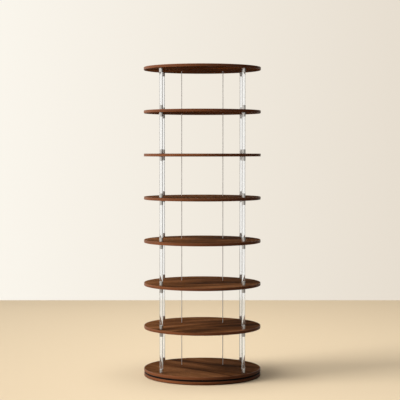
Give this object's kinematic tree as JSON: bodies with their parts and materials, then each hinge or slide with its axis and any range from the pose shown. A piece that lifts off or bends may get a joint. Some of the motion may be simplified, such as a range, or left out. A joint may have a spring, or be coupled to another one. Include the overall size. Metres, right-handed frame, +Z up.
{
  "type": "rotating shoe tower",
  "caption": "Tall tower of round wood shelves on clear posts with metal ferrules, turning on a ring bearing so that shoes can be reached from one side.",
  "frame": {"origin": "on the floor, under the middle of the base", "axes": "+Z up along the turning axis, -Y to the front, +X to the right seen from the front"},
  "size_m": [0.627, 0.628, 1.659],
  "materials": {
    "walnut": "satin",
    "clear_post": "clear polished acrylic",
    "ferrule": "polished nickel",
    "steel": "fine satin",
    "brass": "plain",
    "black_ring": "satin black",
    "cage": "plain",
    "pad": "felt"
  },
  "bodies": {
    "base": {"base_disc": "walnut", "glide_pad_1": "pad", "glide_pad_2": "pad", "glide_pad_3": "pad", "glide_pad_4": "pad", "glide_pad_5": "pad", "glide_pad_6": "pad", "bearing_outer_ring": "black_ring", "ring_screw_1": "steel", "ring_screw_2": "steel", "ring_screw_3": "steel", "ring_screw_4": "steel"},
    "cage": {"ball_cage": "cage"},
    "tower": {"bearing_inner_ring": "black_ring", "shelf_1": "walnut", "shelf_2": "walnut", "shelf_3": "walnut", "shelf_4": "walnut", "shelf_5": "walnut", "shelf_6": "walnut", "shelf_7": "walnut", "shelf_8": "walnut", "foot_stud_front_left": "steel", "foot_stud_front_right": "steel", "foot_stud_rear_left": "steel", "foot_stud_rear_right": "steel", "post_1_front_left": "clear_post", "post_1_front_right": "clear_post", "post_1_rear_left": "clear_post", "post_1_rear_right": "clear_post", "post_2_front_left": "clear_post", "post_2_front_right": "clear_post", "post_2_rear_left": "clear_post", "post_2_rear_right": "clear_post", "post_3_front_left": "clear_post", "post_3_front_right": "clear_post", "post_3_rear_left": "clear_post", "post_3_rear_right": "clear_post", "post_4_front_left": "clear_post", "post_4_front_right": "clear_post", "post_4_rear_left": "clear_post", "post_4_rear_right": "clear_post", "post_5_front_left": "clear_post", "post_5_front_right": "clear_post", "post_5_rear_left": "clear_post", "post_5_rear_right": "clear_post", "post_6_front_left": "clear_post", "post_6_front_right": "clear_post", "post_6_rear_left": "clear_post", "post_6_rear_right": "clear_post", "post_7_front_left": "clear_post", "post_7_front_right": "clear_post", "post_7_rear_left": "clear_post", "post_7_rear_right": "clear_post", "top_insert_front_left": "brass", "top_insert_front_right": "brass", "top_insert_rear_left": "brass", "top_insert_rear_right": "brass", "stop_rod_left": "steel", "stop_rod_right": "steel"}
  },
  "joints": [
    {"name": "tower_spin", "type": "hinge", "parent": "base", "child": "tower", "pos_m": [0, 0, 0.0225], "axis": [0, 0, 1], "continuous": true},
    {"name": "cage_spin", "type": "hinge", "parent": "base", "child": "cage", "pos_m": [0, 0, 0.0225], "axis": [0, 0, 1], "continuous": true}
  ],
  "couplings": [
    {"joint": "cage_spin", "follows": "tower_spin", "ratio": 0.496}
  ]
}
